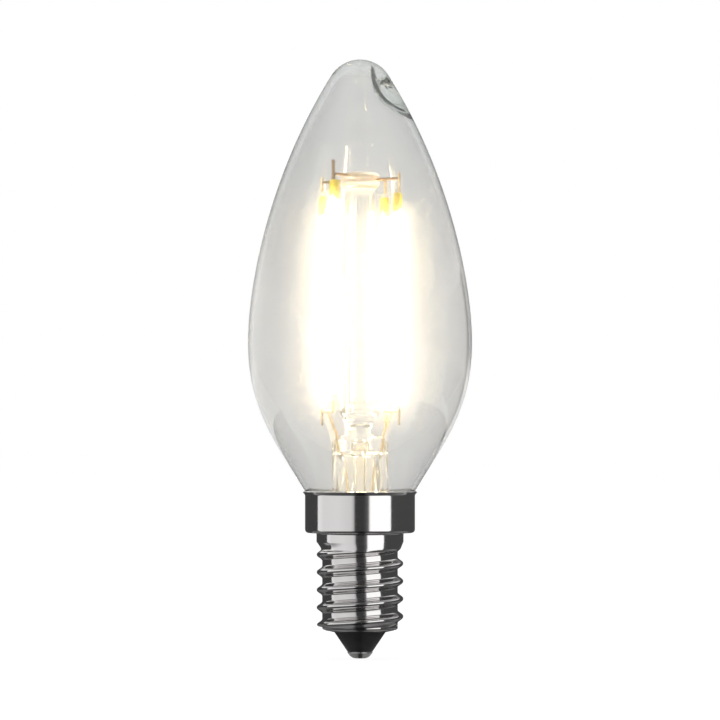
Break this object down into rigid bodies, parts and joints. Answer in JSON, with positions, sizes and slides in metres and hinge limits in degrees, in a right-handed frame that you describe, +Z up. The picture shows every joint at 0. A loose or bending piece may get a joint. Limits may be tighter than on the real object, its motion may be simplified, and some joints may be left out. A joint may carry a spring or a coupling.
{
  "type": "candle bulb",
  "caption": "Clear candle-shaped light bulb with upright lit filaments round a glass stem, on a small bright screw cap with a black insulator and centre contact",
  "frame": {"origin": "the middle of the small flat at the lowest point of the centre contact, on the bulb's axis", "axes": "+Z runs up the axis from the cap to the tip of the glass; -Y is the side that faces the camera; +X is to the right in that view"},
  "size_m": [0.0358, 0.0358, 0.096],
  "materials": {
    "clear_glass": "clear, polished",
    "stem_glass": "clear, polished",
    "nickel_plate": "bright nickel plate",
    "black_glass": "glossy, opaque black",
    "contact_brass": "satin",
    "solder": "dull tin grey",
    "cement": "matt, chalky",
    "lead_metal": "drawn wire, copper-coloured",
    "tab_metal": "satin sheet",
    "ceramic_strip": "matt, opaque ceramic",
    "phosphor": "matt yellow silicone, lit",
    "board": "white lacquered board",
    "chip_case": "moulded black",
    "capacitor_can": "satin",
    "resistor_coat": "green lacquer",
    "tinned_wire": "tinned"
  },
  "bodies": {
    "root": {"bridge_rectifier": "chip_case", "cap_cement": "cement", "cap_insulator": "black_glass", "contact_plate": "contact_brass", "contact_solder": "solder", "crossbar_left": "lead_metal", "crossbar_right": "lead_metal", "driver_board": "board", "driver_chip": "chip_case", "exhaust_tube": "stem_glass", "filament_back_left": "ceramic_strip", "filament_back_right": "ceramic_strip", "filament_front_left": "ceramic_strip", "filament_front_right": "ceramic_strip", "fuse_resistor": "resistor_coat", "glass_envelope": "clear_glass", "lead_wire_left": "lead_metal", "lead_wire_right": "lead_metal", "live_wire": "tinned_wire", "neutral_wire": "tinned_wire", "phosphor_back_left": "phosphor", "phosphor_back_right": "phosphor", "phosphor_front_left": "phosphor", "phosphor_front_right": "phosphor", "screw_cap": "nickel_plate", "smoothing_capacitor": "capacitor_can", "stem_column": "stem_glass", "stem_flare": "stem_glass", "tab_back_left_foot": "tab_metal", "tab_back_left_top": "tab_metal", "tab_back_right_foot": "tab_metal", "tab_back_right_top": "tab_metal", "tab_front_left_foot": "tab_metal", "tab_front_left_top": "tab_metal", "tab_front_right_foot": "tab_metal", "tab_front_right_top": "tab_metal", "top_link_lower": "lead_metal", "top_link_upper": "lead_metal"}
  },
  "joints": []
}
